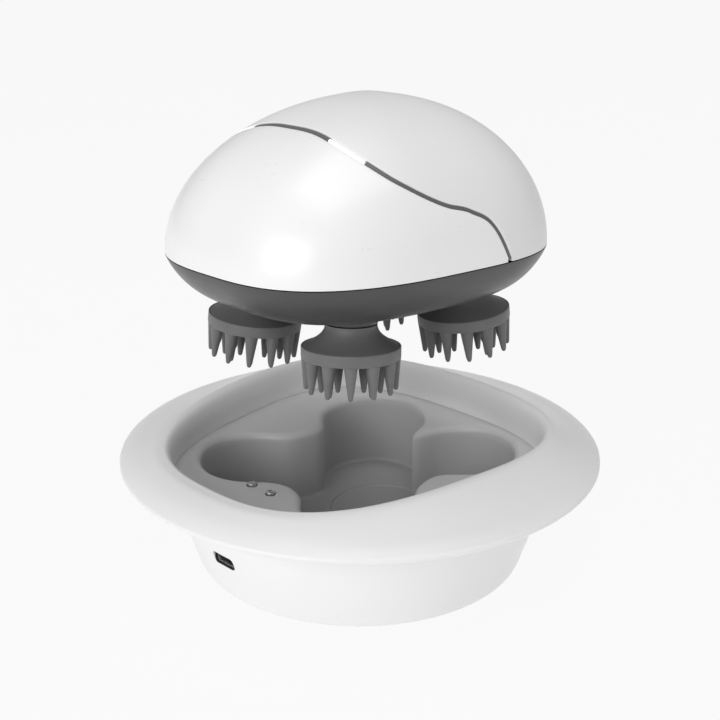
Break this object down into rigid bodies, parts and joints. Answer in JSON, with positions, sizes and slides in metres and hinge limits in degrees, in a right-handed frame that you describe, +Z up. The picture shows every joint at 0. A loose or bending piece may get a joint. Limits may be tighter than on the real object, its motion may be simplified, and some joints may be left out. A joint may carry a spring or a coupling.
{
  "type": "electric scalp massager with charging dock",
  "caption": "Hand-held electric scalp massager with rotating soft-fingered brush heads, hovering above its round charging dock with a lobed recess.",
  "frame": {"origin": "middle of the dock's underside, where it stands on the table", "axes": "+Z up; -Y towards the massager's nose and the dock's charging socket; +X to the right when looking along +Y"},
  "size_m": [0.1492, 0.1492, 0.1441],
  "materials": {
    "gloss_white": "gloss",
    "matt_white": "satin",
    "dock_white": "satin",
    "tray_grey": "satin",
    "dark_grey": "satin",
    "strip_grey": "satin",
    "hub_grey": "satin",
    "silicone": "matt",
    "gear_nylon": "satin",
    "steel": "satin",
    "brass": "polished",
    "board_green": "satin",
    "battery_blue": "satin",
    "black_plastic": "matt",
    "rubber": "matt",
    "light_bar": "translucent white"
  },
  "bodies": {
    "dock": {"dock_collar": "dock_white", "dock_tray": "tray_grey", "dock_shell": "dock_white", "base_plate": "black_plastic", "foot_ring": "rubber", "base_screw_1": "steel", "base_screw_2": "steel", "base_screw_3": "steel", "base_screw_4": "steel", "socket_shell": "steel", "socket_tongue": "black_plastic", "dock_board": "board_green", "pin_sleeve_1": "black_plastic", "pin_sleeve_2": "black_plastic"},
    "massager": {"front_cover": "gloss_white", "rear_cover": "matt_white", "trim_strip_left": "strip_grey", "trim_strip_middle": "strip_grey", "trim_strip_right": "strip_grey", "lower_housing": "dark_grey", "joint_ring": "black_plastic", "gearbox_plate": "black_plastic", "plate_post_front": "steel", "plate_post_back": "steel", "plate_post_left": "steel", "plate_post_right": "steel", "battery": "battery_blue", "drive_motor": "steel", "circuit_board": "board_green", "power_switch": "black_plastic", "mode_switch": "black_plastic", "charge_contact_1": "steel", "charge_contact_2": "steel", "centre_axle": "steel", "spindle_bush_front_left": "brass", "spindle_bush_front_right": "brass", "spindle_bush_back_left": "brass", "spindle_bush_back_right": "brass"},
    "centre_gear": {"centre_gear": "gear_nylon"},
    "motor_pinion": {"motor_pinion": "brass"},
    "head_front_left": {"head_gear_front_left": "gear_nylon", "head_spindle_front_left": "steel", "head_hub_front_left": "hub_grey", "brush_pad_front_left": "silicone"},
    "head_front_right": {"head_gear_front_right": "gear_nylon", "head_spindle_front_right": "steel", "head_hub_front_right": "hub_grey", "brush_pad_front_right": "silicone"},
    "head_back_left": {"head_gear_back_left": "gear_nylon", "head_spindle_back_left": "steel", "head_hub_back_left": "hub_grey", "brush_pad_back_left": "silicone"},
    "head_back_right": {"head_gear_back_right": "gear_nylon", "head_spindle_back_right": "steel", "head_hub_back_right": "hub_grey", "brush_pad_back_right": "silicone"},
    "power_key": {"power_key": "light_bar"},
    "mode_key": {"mode_key": "light_bar"},
    "contact_pin_1": {"contact_pin_1": "steel"},
    "contact_pin_2": {"contact_pin_2": "steel"}
  },
  "joints": [
    {"name": "lift_off", "type": "slide", "parent": "dock", "child": "massager", "axis": [0, 0, 1], "range_m": [-0.05525, 0.02]},
    {"name": "drive_spin", "type": "hinge", "parent": "massager", "child": "centre_gear", "pos_m": [0, 0, 0.0925], "axis": [0, 0, 1], "continuous": true},
    {"name": "pinion_spin", "type": "hinge", "parent": "massager", "child": "motor_pinion", "pos_m": [0.0255, 0, 0.0925], "axis": [0, 0, 1], "continuous": true},
    {"name": "head_spin_front_left", "type": "hinge", "parent": "massager", "child": "head_front_left", "pos_m": [-0.0205, -0.0241, 0.0786], "axis": [0.0677, 0.0796, 0.9945], "continuous": true},
    {"name": "head_spin_front_right", "type": "hinge", "parent": "massager", "child": "head_front_right", "pos_m": [0.0205, -0.0241, 0.0786], "axis": [-0.0677, 0.0796, 0.9945], "continuous": true},
    {"name": "head_spin_back_left", "type": "hinge", "parent": "massager", "child": "head_back_left", "pos_m": [-0.0205, 0.0241, 0.0786], "axis": [0.0677, -0.0796, 0.9945], "continuous": true},
    {"name": "head_spin_back_right", "type": "hinge", "parent": "massager", "child": "head_back_right", "pos_m": [0.0205, 0.0241, 0.0786], "axis": [-0.0677, -0.0796, 0.9945], "continuous": true},
    {"name": "power_press", "type": "slide", "parent": "massager", "child": "power_key", "axis": [-0.4081, 0.349, -0.8436], "range_m": [0, 0.0006], "stiffness_N_per_m": 800},
    {"name": "mode_press", "type": "slide", "parent": "massager", "child": "mode_key", "axis": [0.4081, 0.349, -0.8436], "range_m": [0, 0.0006], "stiffness_N_per_m": 800},
    {"name": "pin_1_press", "type": "slide", "parent": "dock", "child": "contact_pin_1", "axis": [0, 0, -1], "range_m": [0, 0.001], "stiffness_N_per_m": 300},
    {"name": "pin_2_press", "type": "slide", "parent": "dock", "child": "contact_pin_2", "axis": [0, 0, -1], "range_m": [0, 0.001], "stiffness_N_per_m": 300}
  ],
  "couplings": [
    {"joint": "pinion_spin", "follows": "drive_spin", "ratio": -2.4},
    {"joint": "head_spin_front_left", "follows": "drive_spin", "ratio": -1.5},
    {"joint": "head_spin_front_right", "follows": "drive_spin", "ratio": -1.5},
    {"joint": "head_spin_back_left", "follows": "drive_spin", "ratio": -1.5},
    {"joint": "head_spin_back_right", "follows": "drive_spin", "ratio": -1.5}
  ]
}
